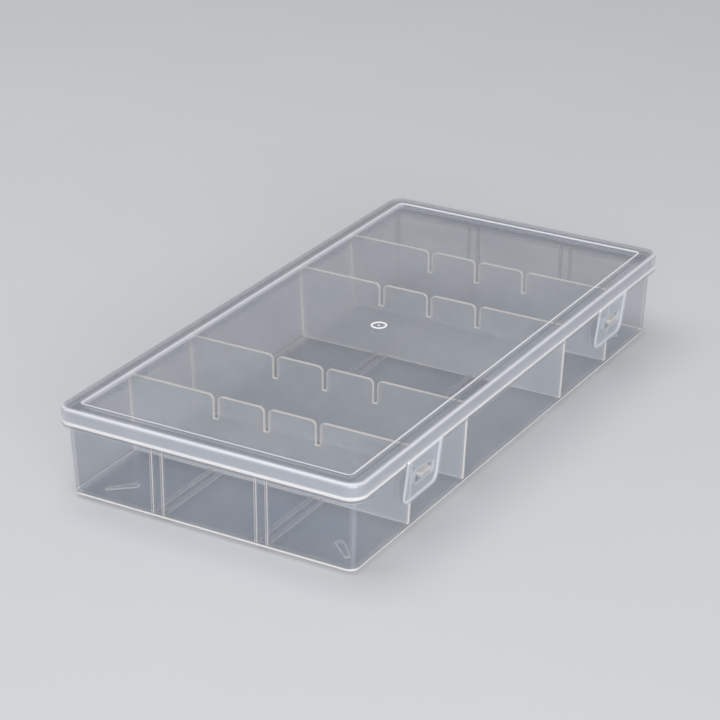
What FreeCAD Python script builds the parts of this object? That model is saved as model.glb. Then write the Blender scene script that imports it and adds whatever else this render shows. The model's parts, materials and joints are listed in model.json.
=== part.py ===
import FreeCAD
import Part
import Sketcher
import math
import os
from FreeCAD import Rotation, Vector

# Hinged-lid compartment box, moulded in clear polypropylene.
# Frame: +X along the length, -Y towards the latches, +Z up, origin under the middle of the feet.

# Driving sizes in millimetres and degrees
SIZES = [
    ("lid_length", 230.0, "lid and rim, along X"),
    ("lid_depth", 116.9, "lid and rim, along Y"),
    ("lid_corner_radius", 6.0, "lid and rim, seen from above"),
    ("lid_edge_radius", 1.6, "rounding between the lid's border and its skirt"),
    ("lid_wall", 1.2, "thickness of the skirt"),
    ("lid_plate", 1.2, "thickness of the lid's border and panel"),
    ("skirt_height", 5.4, "lower edge of the skirt to the top of the border"),
    ("lid_gap", 0.2, "rim flange to the skirt"),
    ("panel_inset", 6.8, "edge of the lid to the sunk panel"),
    ("panel_recess", 1.1, "step from the border down to the panel"),
    ("panel_corner_radius", 1.2, "corners of the panel, seen from above"),
    ("panel_edge_radius", 0.4, "rounding of the step's upper edge"),
    ("gate_diameter", 6.0, "moulding gate ring in the middle of the lid"),
    ("gate_width", 0.8, "width of the gate ring"),
    ("gate_height", 0.2, "height of the gate ring"),
    ("tray_height", 27.6, "underside of the tray to the top of the rim flange"),
    ("tray_draft", 2.8, "outward lean of the tray's walls"),
    ("tray_corner_radius", 3.4, "upright corners at the underside of the tray"),
    ("tray_edge_radius", 1.0, "rounding of the tray's lower edge"),
    ("tray_wall", 1.3, "thickness of the tray's walls"),
    ("tray_floor", 1.5, "thickness of the tray's floor"),
    ("rim_overhang", 2.0, "rim flange past the wall"),
    ("rim_thickness", 1.6, "thickness of the rim flange"),
    ("lip_height", 3.9, "tray wall above the rim flange"),
    ("foot_height", 0.6, "feet under the tray"),
    ("foot_length", 12.0, "foot along its diagonal"),
    ("foot_inner_width", 3.4, "foot across its diagonal, at the end towards the middle"),
    ("foot_corner_width", 2.2, "foot across its diagonal, at the end towards the corner"),
    ("foot_inset_x", 16.2, "end of the lid to the middle of a foot"),
    ("foot_inset_y", 15.0, "side of the lid to the middle of a foot"),
    ("cross_wall", 1.2, "thickness of the cross walls"),
    ("outer_cross_inset", 39.5, "end of the lid to the outer cross walls"),
    ("inner_cross_inset", 77.5, "end of the lid to the inner cross walls"),
    ("cross_drop", 1.2, "top of the lip to the top of the cross walls"),
    ("slot_pitch", 20.2, "slot to slot, and the rails in line with them"),
    ("slot_width", 1.7, "divider slot in a cross wall"),
    ("slot_depth", 8.7, "divider slot from the top of the cross wall"),
    ("slot_mouth_radius", 2.0, "flare at the mouth of a slot"),
    ("rail_width", 1.05, "width of one rib of a rail"),
    ("rail_gap", 3.1, "between the two ribs of a rail"),
    ("rail_height", 1.0, "floor rail above the floor"),
    ("end_rail_depth", 1.0, "end rail out of the end wall"),
    ("end_rail_drop", 2.0, "top of the lip to the top of an end rail"),
    ("latch_inset", 43.0, "end of the lid to the middle of a latch"),
    ("latch_width", 23.0, "latch flap along X"),
    ("latch_length", 16.3, "hinge axis to the lower edge of the flap"),
    ("latch_thickness", 1.3, "thickness of the flap"),
    ("latch_corner_radius", 3.8, "lower corners of the flap"),
    ("latch_lean", 7.0, "flap leans in towards the tray"),
    ("latch_proud", 0.3, "hinge axis of the flap in front of the skirt"),
    ("latch_side_gap", 0.4, "flap to the ends of its recess"),
    ("latch_back_gap", 0.4, "flap to the rim flange behind it"),
    ("window_width", 12.0, "catch window in the flap"),
    ("window_height", 4.4, "catch window in the flap"),
    ("window_drop", 7.6, "hinge axis to the middle of the window"),
    ("window_radius", 1.0, "corners of the window"),
    ("catch_side_gap", 2.7, "catch to the sides of the window"),
    ("catch_edge_gap", 0.85, "catch to the upper and lower edges of the window"),
    ("catch_proud", 0.5, "tip of the catch in front of the flap's outer face"),
    ("catch_slope", 0.3, "height lost at each edge of the catch's tip"),
    ("hinge_inset", 43.0, "end of the lid to the middle of a hinge"),
    ("knuckle_radius", 1.5, "outside of the ears and the barrel"),
    ("pin_radius", 0.75, "hinge pin"),
    ("running_clearance", 0.05, "radial play of a turning joint"),
    ("hinge_standoff", 0.3, "knuckle to the rim flange"),
    ("hinge_side_gap", 0.25, "barrel to the ears"),
    ("barrel_length", 12.0, "barrel along X"),
    ("ear_thickness", 2.0, "ear along X"),
]

doc = FreeCAD.newDocument("CompartmentBox")
sheet = doc.addObject("Spreadsheet::Sheet", "Sizes")
for row, (alias, size, meaning) in enumerate(SIZES, start=1):
    sheet.set(f"A{row}", meaning)
    sheet.set(f"B{row}", str(size))
    sheet.setAlias(f"B{row}", alias)
doc.recompute()

subparts = []


def size_of(name):
    """Expression that reads one driving size."""
    return f"Sizes.{name}"


def number(expression):
    """Present value of an expression."""
    return float(sheet.evalExpression(expression))


# Levels and distances that several pieces share, as expressions on the driving sizes
TRAY_BOTTOM = size_of("foot_height")
FLOOR_TOP = f"({TRAY_BOTTOM} + Sizes.tray_floor)"
RIM_TOP = f"({TRAY_BOTTOM} + Sizes.tray_height)"
RIM_UNDERSIDE = f"({RIM_TOP} - Sizes.rim_thickness)"
LIP_TOP = f"({RIM_TOP} + Sizes.lip_height)"
SKIRT_BOTTOM = f"({RIM_TOP} + Sizes.lid_gap)"
BORDER_TOP = f"({SKIRT_BOTTOM} + Sizes.skirt_height)"
BORDER_UNDERSIDE = f"({BORDER_TOP} - Sizes.lid_plate)"
PANEL_TOP = f"({BORDER_TOP} - Sizes.panel_recess)"
PANEL_UNDERSIDE = f"({PANEL_TOP} - Sizes.lid_plate)"
PANEL_LENGTH = "(Sizes.lid_length - 2 * Sizes.panel_inset)"
PANEL_DEPTH = "(Sizes.lid_depth - 2 * Sizes.panel_inset)"
RIM_FRONT = "(Sizes.lid_depth / 2)"
CROSS_TOP = f"({LIP_TOP} - Sizes.cross_drop)"
OUTER_CROSS_X = "(Sizes.lid_length / 2 - Sizes.outer_cross_inset)"
INNER_CROSS_X = "(Sizes.lid_length / 2 - Sizes.inner_cross_inset)"
LATCH_X = "(Sizes.lid_length / 2 - Sizes.latch_inset)"
LATCH_RADIUS = "(Sizes.latch_thickness / 2)"
LATCH_AXIS_Y = f"(-{RIM_FRONT} - Sizes.latch_proud)"
LATCH_AXIS_Z = f"({SKIRT_BOTTOM} - Sizes.lid_gap)"
LATCH_RECESS_WIDTH = "(Sizes.latch_width + 2 * Sizes.latch_side_gap)"
HINGE_X = "(Sizes.lid_length / 2 - Sizes.hinge_inset)"
HINGE_Y = f"({RIM_FRONT} + Sizes.hinge_standoff + Sizes.knuckle_radius)"
HINGE_Z = f"({RIM_TOP} - Sizes.rim_thickness / 2)"


def wall_outside(span, level):
    """Half the tray's outer size along one axis at a level, from the lid's size along that axis."""
    return f"({span} / 2 - Sizes.rim_overhang - ({RIM_TOP} - {level}) * tan(Sizes.tray_draft))"


def wall_inside(span, level):
    """Half the tray's inner size along one axis at a level."""
    return f"({wall_outside(span, level)} - Sizes.tray_wall)"


def new_body(label):
    """Body of one sub-part, noted for the export."""
    body = doc.addObject("PartDesign::Body", label)
    body.Label = label
    subparts.append(body)
    return body


def new_sketch(body, name, role, offset="0"):
    """Sketch on one of the body's own origin planes, moved along the plane's normal."""
    sketch = body.newObject("Sketcher::SketchObject", f"{body.Name}_{name}")
    plane = next(feature for feature in body.Origin.OriginFeatures if feature.Role == role)
    sketch.AttachmentSupport = [(plane, "")]
    sketch.MapMode = "FlatFace"
    sketch.setExpression("AttachmentOffset.Base.z", offset)
    return sketch


def bind(sketch, kind, places, expression):
    """Dimension of a sketch tied to an expression."""
    index = sketch.addConstraint(Sketcher.Constraint(kind, *places, number(expression)))
    sketch.setExpression(f"Constraints[{index}]", expression)


def draw_outline(sketch, corners, arcs=None):
    """Closed outline through corners given as pairs of expressions.

    arcs maps the number of a segment to (radius expression, centre, start angle, end angle, turns_left);
    every other segment is a straight line to the next corner.
    """
    arcs = arcs or {}
    first = sketch.GeometryCount
    count = len(corners)
    points = [Vector(number(u), number(v), 0) for u, v in corners]
    ends = []
    for index in range(count):
        if index in arcs:
            radius, centre, start_angle, end_angle, turns_left = arcs[index]
            middle = Vector(number(centre[0]), number(centre[1]), 0)
            circle = Part.Circle(middle, Vector(0, 0, 1), number(radius))
            sketch.addGeometry(Part.ArcOfCircle(circle, math.radians(start_angle), math.radians(end_angle)))
            ends.append((1, 2) if turns_left else (2, 1))
        else:
            sketch.addGeometry(Part.LineSegment(points[index], points[(index + 1) % count]))
            ends.append((1, 2))
    for index, (u, v) in enumerate(corners):
        before = (index - 1) % count
        joint = (first + before, ends[before][1], first + index, ends[index][0])
        sketch.addConstraint(Sketcher.Constraint("Coincident", *joint))
        bind(sketch, "DistanceX", (-1, 1, first + index, ends[index][0]), u)
        bind(sketch, "DistanceY", (-1, 1, first + index, ends[index][0]), v)
    for index, arc in arcs.items():
        chord = points[(index + 1) % count] - points[index]
        across = 1 if abs(chord.x) >= abs(chord.y) else 0
        bind(sketch, ("DistanceX", "DistanceY")[across], (-1, 1, first + index, 3), arc[1][across])


def draw_rectangle(sketch, low, high):
    """Rectangle between two corners given as pairs of expressions."""
    draw_outline(sketch, [low, (high[0], low[1]), high, (low[0], high[1])])


def draw_rounded_rectangle(sketch, length, depth, radius, centre=("0", "0")):
    """Rectangle with equal rounded corners about a centre, drawn anticlockwise from its lower edge."""
    left, right = f"({centre[0]} - {length} / 2)", f"({centre[0]} + {length} / 2)"
    low, high = f"({centre[1]} - {depth} / 2)", f"({centre[1]} + {depth} / 2)"
    corners = []
    arcs = {}
    turns = [
        (right, low, "-", "+", 270),
        (right, high, "-", "-", 0),
        (left, high, "+", "-", 90),
        (left, low, "+", "+", 180),
    ]
    for u, v, inward_u, inward_v, start in turns:
        middle = (f"({u} {inward_u} {radius})", f"({v} {inward_v} {radius})")
        along = [(middle[0], v), (u, middle[1])]
        arcs[len(corners)] = (radius, middle, start, start + 90, True)
        corners += along if start in (270, 90) else along[::-1]
    draw_outline(sketch, corners, arcs)


def draw_circle(sketch, radius, centre=("0", "0")):
    """Full circle about a centre given as a pair of expressions."""
    middle = Vector(number(centre[0]), number(centre[1]), 0)
    index = sketch.addGeometry(Part.Circle(middle, Vector(0, 0, 1), number(radius)))
    bind(sketch, "DistanceX", (-1, 1, index, 3), centre[0])
    bind(sketch, "DistanceY", (-1, 1, index, 3), centre[1])
    bind(sketch, "Radius", (index,), radius)


def pad(body, sketch, length, draft=None):
    """Material added along the sketch's normal."""
    feature = body.newObject("PartDesign::Pad", f"{sketch.Name}_pad")
    feature.Profile = sketch
    feature.setExpression("Length", length)
    if draft:
        feature.setExpression("TaperAngle", draft)
    doc.recompute()
    return feature


def pocket(body, sketch, length, draft=None):
    """Material removed along the sketch's normal, checked to remove some."""
    before = body.Shape.Volume
    feature = body.newObject("PartDesign::Pocket", f"{sketch.Name}_pocket")
    feature.Profile = sketch
    feature.Reversed = True
    feature.setExpression("Length", length)
    if draft:
        feature.setExpression("TaperAngle", draft)
    doc.recompute()
    if not feature.Shape.Volume < before:
        raise RuntimeError(f"{feature.Name} removed nothing")
    return feature


def round_edges_at(body, level, radius, within=(size_of("lid_length"), size_of("lid_depth"))):
    """Fillet on the edges that lie flat at a level, inside a length and depth about the middle."""
    base = body.Tip
    height = number(level)
    reach_x, reach_y = (number(span) / 2 + 1e-5 for span in within)
    names = []
    for index, edge in enumerate(base.Shape.Edges, start=1):
        box = edge.BoundBox
        flat = abs(box.ZMin - height) < 1e-5 and abs(box.ZMax - height) < 1e-5
        if flat and max(box.XMax, -box.XMin) < reach_x and max(box.YMax, -box.YMin) < reach_y:
            names.append(f"Edge{index}")
    feature = body.newObject("PartDesign::Fillet", f"{base.Name}_round")
    feature.Base = (base, names)
    feature.setExpression("Radius", radius)
    doc.recompute()


def place(body, base, axis=None, angle=None):
    """Placement of a body, tied to expressions."""
    if axis:
        body.Placement = FreeCAD.Placement(Vector(), Rotation(axis, number(angle)))
        body.setExpression("Placement.Rotation.Angle", angle)
    for letter, expression in zip("xyz", base):
        body.setExpression(f"Placement.Base.{letter}", expression)


# Tray: drafted walls, rim flange with room for the latches, and the hollow
def make_tray():
    body = new_body("base_tray")
    outer = new_sketch(body, "outer", "XY_Plane", TRAY_BOTTOM)
    length = f"(2 * {wall_outside('Sizes.lid_length', TRAY_BOTTOM)})"
    depth = f"(2 * {wall_outside('Sizes.lid_depth', TRAY_BOTTOM)})"
    draw_rounded_rectangle(outer, length, depth, size_of("tray_corner_radius"))
    pad(body, outer, f"{LIP_TOP} - {TRAY_BOTTOM}", size_of("tray_draft"))
    round_edges_at(body, TRAY_BOTTOM, size_of("tray_edge_radius"))

    rim = new_sketch(body, "rim", "XY_Plane", RIM_UNDERSIDE)
    draw_rounded_rectangle(rim, size_of("lid_length"), size_of("lid_depth"), size_of("lid_corner_radius"))
    pad(body, rim, size_of("rim_thickness"))

    recess = new_sketch(body, "latch_recess", "XY_Plane", RIM_UNDERSIDE)
    lean = "Sizes.rim_thickness * tan(Sizes.latch_lean)"
    back = f"({LATCH_AXIS_Y} + {LATCH_RADIUS} + {lean} + Sizes.latch_back_gap)"
    front = f"(-{RIM_FRONT} - Sizes.latch_proud)"
    for side in ("-", "+"):
        low = f"({side}{LATCH_X} - {LATCH_RECESS_WIDTH} / 2)"
        high = f"({side}{LATCH_X} + {LATCH_RECESS_WIDTH} / 2)"
        draw_rectangle(recess, (low, front), (high, back))
    pocket(body, recess, size_of("rim_thickness"))

    hollow = new_sketch(body, "hollow", "XY_Plane", FLOOR_TOP)
    length = f"(2 * {wall_inside('Sizes.lid_length', FLOOR_TOP)})"
    depth = f"(2 * {wall_inside('Sizes.lid_depth', FLOOR_TOP)})"
    corner = "(Sizes.tray_corner_radius + Sizes.tray_floor * tan(Sizes.tray_draft) - Sizes.tray_wall)"
    draw_rounded_rectangle(hollow, length, depth, corner)
    pocket(body, hollow, f"{LIP_TOP} - {FLOOR_TOP}", size_of("tray_draft"))


# Foot: low diagonal bar with round ends under each corner of the tray, narrower towards the corner
def make_foot(label, side_x, side_y):
    body = new_body(label)
    sketch = new_sketch(body, "bar", "XY_Plane")
    inner, outer = "(Sizes.foot_inner_width / 2)", "(Sizes.foot_corner_width / 2)"
    start, end = f"({inner} - Sizes.foot_length / 2)", f"(Sizes.foot_length / 2 - {outer})"
    corners = [(start, f"-{inner}"), (end, f"-{outer}"), (end, outer), (start, inner)]
    arcs = {1: (outer, (end, "0"), 270, 450, True), 3: (inner, (start, "0"), 90, 270, True)}
    draw_outline(sketch, corners, arcs)
    pad(body, sketch, size_of("foot_height"))
    middle = (
        f"{side_x}(Sizes.lid_length / 2 - Sizes.foot_inset_x)",
        f"{side_y}(Sizes.lid_depth / 2 - Sizes.foot_inset_y)",
        "0",
    )
    towards_corner = {("+", "+"): "45", ("-", "+"): "135", ("-", "-"): "225", ("+", "-"): "315"}
    place(body, middle, Vector(0, 0, 1), towards_corner[side_x, side_y])


# Cross wall: drafted like the tray it stands in, with flared divider slots
def make_cross_wall(label, middle_x):
    body = new_body(label)
    sketch = new_sketch(body, "wall", "YZ_Plane", f"{middle_x} - Sizes.cross_wall / 2")
    low = wall_inside("Sizes.lid_depth", FLOOR_TOP)
    high = wall_inside("Sizes.lid_depth", CROSS_TOP)
    foot, head = [(f"-{low}", FLOOR_TOP), (low, FLOOR_TOP)], [(high, CROSS_TOP), (f"-{high}", CROSS_TOP)]
    draw_outline(sketch, foot + head)
    pad(body, sketch, size_of("cross_wall"))

    slots = new_sketch(body, "slots", "YZ_Plane", f"{middle_x} - Sizes.cross_wall / 2")
    flare = size_of("slot_mouth_radius")
    bottom = f"({CROSS_TOP} - Sizes.slot_depth)"
    neck = f"({CROSS_TOP} - {flare})"
    above = f"({CROSS_TOP} + {flare})"
    for place_y in ("-Sizes.slot_pitch", "0", "Sizes.slot_pitch"):
        left = f"({place_y} - Sizes.slot_width / 2)"
        right = f"({place_y} + Sizes.slot_width / 2)"
        left_lip = f"({left} - {flare})"
        right_lip = f"({right} + {flare})"
        corners = [
            (left, bottom),
            (right, bottom),
            (right, neck),
            (right_lip, CROSS_TOP),
            (right_lip, above),
            (left_lip, above),
            (left_lip, CROSS_TOP),
            (left, neck),
        ]
        arcs = {2: (flare, (right_lip, neck), 90, 180, False), 6: (flare, (left_lip, neck), 0, 90, False)}
        draw_outline(slots, corners, arcs)
    pocket(body, slots, size_of("cross_wall"))


def rib_edges(side_y):
    """Both ribs of a rail, each as its two Y faces; the ribs straddle a divider slot."""
    edges = []
    for rib in ("-", "+"):
        middle = f"({side_y}Sizes.slot_pitch {rib} (Sizes.rail_gap + Sizes.rail_width) / 2)"
        edges.append((f"({middle} - Sizes.rail_width / 2)", f"({middle} + Sizes.rail_width / 2)"))
    return edges


# Floor rail: twin ribs across one compartment
def make_floor_rail(label, side_y, low_x, high_x):
    body = new_body(label)
    body.AllowCompound = True
    sketch = new_sketch(body, "ribs", "XY_Plane", FLOOR_TOP)
    for low_y, high_y in rib_edges(side_y):
        draw_rectangle(sketch, (low_x, low_y), (high_x, high_y))
    pad(body, sketch, size_of("rail_height"))


# End rail: twin upright ribs that follow the lean of the end wall
def make_end_rail(label, side_x, side_y):
    body = new_body(label)
    body.AllowCompound = True
    top = f"({LIP_TOP} - Sizes.end_rail_drop)"
    wall_low = wall_inside("Sizes.lid_length", FLOOR_TOP)
    wall_high = wall_inside("Sizes.lid_length", top)
    corners = [
        (f"{side_x}({wall_low} - Sizes.end_rail_depth)", FLOOR_TOP),
        (f"{side_x}{wall_low}", FLOOR_TOP),
        (f"{side_x}{wall_high}", top),
        (f"{side_x}({wall_high} - Sizes.end_rail_depth)", top),
    ]
    for index, (low_y, high_y) in enumerate(rib_edges(side_y), start=1):
        sketch = new_sketch(body, f"rib_{index}", "XZ_Plane", f"-{high_y}")
        draw_outline(sketch, corners)
        pad(body, sketch, size_of("rail_width"))


# Lid: border, sunk panel, gate ring, skirt, and recesses for the latches' round upper edges
def make_lid():
    body = new_body("lid_shell")
    outer = new_sketch(body, "outer", "XY_Plane", SKIRT_BOTTOM)
    draw_rounded_rectangle(outer, size_of("lid_length"), size_of("lid_depth"), size_of("lid_corner_radius"))
    pad(body, outer, size_of("skirt_height"))
    round_edges_at(body, BORDER_TOP, size_of("lid_edge_radius"))

    hollow = new_sketch(body, "hollow", "XY_Plane", SKIRT_BOTTOM)
    length = "(Sizes.lid_length - 2 * Sizes.lid_wall)"
    depth = "(Sizes.lid_depth - 2 * Sizes.lid_wall)"
    draw_rounded_rectangle(hollow, length, depth, "(Sizes.lid_corner_radius - Sizes.lid_wall)")
    pocket(body, hollow, "Sizes.skirt_height - Sizes.lid_plate")

    under = new_sketch(body, "under_panel", "XY_Plane", PANEL_UNDERSIDE)
    length = f"({PANEL_LENGTH} + 2 * Sizes.lid_plate)"
    depth = f"({PANEL_DEPTH} + 2 * Sizes.lid_plate)"
    draw_rounded_rectangle(under, length, depth, "(Sizes.panel_corner_radius + Sizes.lid_plate)")
    pad(body, under, size_of("panel_recess"))

    panel = new_sketch(body, "panel", "XY_Plane", PANEL_TOP)
    draw_rounded_rectangle(panel, PANEL_LENGTH, PANEL_DEPTH, size_of("panel_corner_radius"))
    pocket(body, panel, size_of("panel_recess"))
    round_edges_at(body, BORDER_TOP, size_of("panel_edge_radius"), (PANEL_LENGTH, PANEL_DEPTH))

    gate = new_sketch(body, "gate", "XY_Plane", PANEL_TOP)
    draw_circle(gate, "(Sizes.gate_diameter / 2)")
    draw_circle(gate, "(Sizes.gate_diameter / 2 - Sizes.gate_width)")
    pad(body, gate, size_of("gate_height"))

    radius = f"({LATCH_RADIUS} + Sizes.running_clearance)"
    front, back = f"({LATCH_AXIS_Y} - {radius})", f"({LATCH_AXIS_Y} + {radius})"
    corners = [(back, LATCH_AXIS_Z), (front, LATCH_AXIS_Z)]
    arcs = {0: (radius, (LATCH_AXIS_Y, LATCH_AXIS_Z), 0, 180, True)}
    for index, side in enumerate(("-", "+"), start=1):
        low_x = f"{side}{LATCH_X} - {LATCH_RECESS_WIDTH} / 2"
        recess = new_sketch(body, f"latch_recess_{index}", "YZ_Plane", low_x)
        draw_outline(recess, corners, arcs)
        pocket(body, recess, LATCH_RECESS_WIDTH)


# Latch flap: hangs from its round upper edge, which is its hinge, with a window for the catch
def make_latch(label, side):
    body = new_body(label)
    flap = new_sketch(body, "flap", "XZ_Plane", f"-{LATCH_RADIUS}")
    half = "(Sizes.latch_width / 2)"
    corner = size_of("latch_corner_radius")
    inner = f"({half} - {corner})"
    low = "(-Sizes.latch_length)"
    neck = f"({low} + {corner})"
    corners = [
        (f"-{half}", "0"),
        (f"-{half}", neck),
        (f"-{inner}", low),
        (inner, low),
        (half, neck),
        (half, "0"),
    ]
    arcs = {
        1: (corner, (f"-{inner}", neck), 180, 270, True),
        3: (corner, (inner, neck), 270, 360, True),
    }
    draw_outline(flap, corners, arcs)
    pad(body, flap, size_of("latch_thickness"))

    edge = new_sketch(body, "edge", "YZ_Plane", f"-{half}")
    draw_circle(edge, LATCH_RADIUS)
    pad(body, edge, size_of("latch_width"))

    window = new_sketch(body, "window", "XZ_Plane", f"-{LATCH_RADIUS}")
    middle = ("0", "(-Sizes.window_drop)")
    draw_rounded_rectangle(
        window, size_of("window_width"), size_of("window_height"), size_of("window_radius"), middle
    )
    pocket(body, window, size_of("latch_thickness"))
    place(body, (f"{side}{LATCH_X}", LATCH_AXIS_Y, LATCH_AXIS_Z), Vector(1, 0, 0), size_of("latch_lean"))


# Catch: lug on the front wall whose tip fills the latch's window
def make_catch(label, side):
    body = new_body(label)
    width = "(Sizes.window_width - 2 * Sizes.catch_side_gap)"
    height = "(Sizes.window_height - 2 * Sizes.catch_edge_gap)"
    middle_z = f"({LATCH_AXIS_Z} - Sizes.window_drop * cos(Sizes.latch_lean))"
    low, high = f"({middle_z} - {height} / 2)", f"({middle_z} + {height} / 2)"
    flap_face = f"({LATCH_AXIS_Y} + Sizes.window_drop * sin(Sizes.latch_lean) - {LATCH_RADIUS})"
    tip = f"({flap_face} - Sizes.catch_proud)"
    corners = [
        (f"-{wall_outside('Sizes.lid_depth', low)}", low),
        (f"-{wall_outside('Sizes.lid_depth', high)}", high),
        (tip, f"({high} - Sizes.catch_slope)"),
        (tip, f"({low} + Sizes.catch_slope)"),
    ]
    sketch = new_sketch(body, "lug", "YZ_Plane", f"{side}{LATCH_X} - {width} / 2")
    draw_outline(sketch, corners)
    pad(body, sketch, width)


# Hinge ear: web under the rim flange and a round eye that holds the pin
def make_hinge_ear(label, low_x):
    body = new_body(label)
    radius = size_of("knuckle_radius")
    root = f"({HINGE_Z} - {radius})"
    corners = [
        (wall_outside("Sizes.lid_depth", root), root),
        (HINGE_Y, root),
        (f"({HINGE_Y} - {radius})", HINGE_Z),
        (RIM_FRONT, HINGE_Z),
        (RIM_FRONT, RIM_UNDERSIDE),
        (wall_outside("Sizes.lid_depth", RIM_UNDERSIDE), RIM_UNDERSIDE),
    ]
    arcs = {1: (radius, (HINGE_Y, HINGE_Z), 270, 540, True)}
    sketch = new_sketch(body, "ear", "YZ_Plane", low_x)
    draw_outline(sketch, corners, arcs)
    draw_circle(sketch, size_of("pin_radius"), (HINGE_Y, HINGE_Z))
    pad(body, sketch, size_of("ear_thickness"))


# Hinge barrel: root on the lid's back skirt and a round eye that turns on the pin
def make_hinge_barrel(label, side):
    body = new_body(label)
    radius = size_of("knuckle_radius")
    inner = f"({HINGE_Y} - {radius})"
    root = f"({SKIRT_BOTTOM} + Sizes.lid_gap)"
    corners = [
        (inner, HINGE_Z),
        (f"({HINGE_Y} + {radius} * cos(45))", f"({HINGE_Z} + {radius} * sin(45))"),
        (RIM_FRONT, f"({HINGE_Z} + {HINGE_Y} - {RIM_FRONT} + {radius} * (cos(45) + sin(45)))"),
        (RIM_FRONT, root),
        (inner, root),
    ]
    arcs = {0: (radius, (HINGE_Y, HINGE_Z), 180, 405, True)}
    sketch = new_sketch(body, "barrel", "YZ_Plane", f"{side}{HINGE_X} - Sizes.barrel_length / 2")
    draw_outline(sketch, corners, arcs)
    draw_circle(sketch, "(Sizes.pin_radius + Sizes.running_clearance)", (HINGE_Y, HINGE_Z))
    pad(body, sketch, size_of("barrel_length"))


# Hinge pin: plain rod through both ears
def make_hinge_pin(label, side):
    pin = doc.addObject("Part::Cylinder", label)
    pin.Label = label
    half = "(Sizes.barrel_length / 2 + Sizes.hinge_side_gap + Sizes.ear_thickness)"
    pin.setExpression("Radius", size_of("pin_radius"))
    pin.setExpression("Height", f"2 * {half}")
    place(pin, (f"{side}{HINGE_X} - {half}", HINGE_Y, HINGE_Z), Vector(0, 1, 0), "90")
    subparts.append(pin)


def make_all():
    """Every sub-part of the box, tray side first."""
    make_tray()
    sides = (("left", "-"), ("right", "+"))
    rows = (("front", "-"), ("rear", "+"))
    walls = [f"-{OUTER_CROSS_X}", f"-{INNER_CROSS_X}", INNER_CROSS_X, OUTER_CROSS_X]
    for index, middle_x in enumerate(walls, start=1):
        make_cross_wall(f"cross_wall_{index}", middle_x)
    rail_end = f"({wall_inside('Sizes.lid_length', FLOOR_TOP)} - Sizes.end_rail_depth)"
    half_wall = "Sizes.cross_wall / 2"
    lows = [f"-{rail_end}"] + [f"({middle_x} + {half_wall})" for middle_x in walls]
    highs = [f"({middle_x} - {half_wall})" for middle_x in walls] + [rail_end]
    for row_name, side_y in rows:
        for index, (low_x, high_x) in enumerate(zip(lows, highs), start=1):
            make_floor_rail(f"floor_rail_{row_name}_{index}", side_y, low_x, high_x)
        for side_name, side_x in sides:
            make_end_rail(f"end_rail_{row_name}_{side_name}", side_x, side_y)
            make_foot(f"foot_{row_name}_{side_name}", side_x, side_y)
    make_lid()
    for side_name, side in sides:
        make_latch(f"latch_flap_{side_name}", side)
        make_catch(f"latch_catch_{side_name}", side)
        ear_start = "(Sizes.barrel_length / 2 + Sizes.hinge_side_gap)"
        make_hinge_ear(f"hinge_ear_{side_name}_1", f"{side}{HINGE_X} - {ear_start} - Sizes.ear_thickness")
        make_hinge_ear(f"hinge_ear_{side_name}_2", f"{side}{HINGE_X} + {ear_start}")
        make_hinge_barrel(f"hinge_barrel_{side_name}", side)
        make_hinge_pin(f"hinge_pin_{side_name}", side)


make_all()
doc.recompute()
for feature in doc.Objects:
    if "Invalid" in feature.State or "Error" in feature.State:
        raise RuntimeError(f"{feature.Name} failed: {feature.State}")
for subpart in subparts:
    if subpart.Shape.isNull() or not subpart.Shape.isValid():
        raise RuntimeError(f"{subpart.Label} has no valid shape")
os.makedirs("parts", exist_ok=True)
for subpart in subparts:
    subpart.Shape.exportStep(f"parts/{subpart.Label}.step")
    print(f"{subpart.Label}: {len(subpart.Shape.Solids)} solid(s), {subpart.Shape.Volume:.1f} mm3")
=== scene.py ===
"""Looks of a hinged-lid compartment box, moulded in natural polypropylene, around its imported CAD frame."""

import json
import logging
import math
from dataclasses import dataclass, field
from enum import Enum
from typing import Any, Optional, Sequence

import bpy
import numpy as np
from mathutils import Matrix, Vector


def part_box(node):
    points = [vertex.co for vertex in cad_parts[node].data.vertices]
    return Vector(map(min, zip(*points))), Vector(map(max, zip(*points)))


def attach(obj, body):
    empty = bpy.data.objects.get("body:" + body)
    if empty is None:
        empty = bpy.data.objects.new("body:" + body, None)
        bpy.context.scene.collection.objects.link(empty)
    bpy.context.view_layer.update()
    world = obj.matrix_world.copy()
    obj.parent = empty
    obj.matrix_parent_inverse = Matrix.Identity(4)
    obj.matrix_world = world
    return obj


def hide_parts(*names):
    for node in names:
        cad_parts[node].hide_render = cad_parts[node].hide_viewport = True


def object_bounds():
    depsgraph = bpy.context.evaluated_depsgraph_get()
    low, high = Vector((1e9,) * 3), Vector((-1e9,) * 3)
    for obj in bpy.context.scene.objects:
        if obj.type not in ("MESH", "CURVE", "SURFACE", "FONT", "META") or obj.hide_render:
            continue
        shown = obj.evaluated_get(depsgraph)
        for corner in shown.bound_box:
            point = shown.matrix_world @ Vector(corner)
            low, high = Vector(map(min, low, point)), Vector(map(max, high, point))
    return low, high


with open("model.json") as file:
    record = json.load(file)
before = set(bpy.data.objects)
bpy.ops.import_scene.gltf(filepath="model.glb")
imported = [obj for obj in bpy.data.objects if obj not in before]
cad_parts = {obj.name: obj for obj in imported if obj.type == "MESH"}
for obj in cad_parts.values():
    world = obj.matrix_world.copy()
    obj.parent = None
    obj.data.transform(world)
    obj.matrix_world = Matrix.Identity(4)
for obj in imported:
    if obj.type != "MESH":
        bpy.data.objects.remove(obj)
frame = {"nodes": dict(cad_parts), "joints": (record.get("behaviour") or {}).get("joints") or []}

LOG = logging.getLogger("compartment_box")
CAD_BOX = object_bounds()
MM = 0.001
# Mesh attribute that weights the painted edge highlight: a paler colour, more cover and a painted glow.
PAINTED_HIGHLIGHT_ATTRIBUTE = "edge"
SHARP_ANGLE = math.radians(50.0)
# Attached mouldings reach this far into what carries them, in mm, so that no two faces share a plane.
SINK = 0.05
# The middle of a rounded edge lies about this share of its radius in from both faces.
ROUND_SHARE = 0.3
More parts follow.
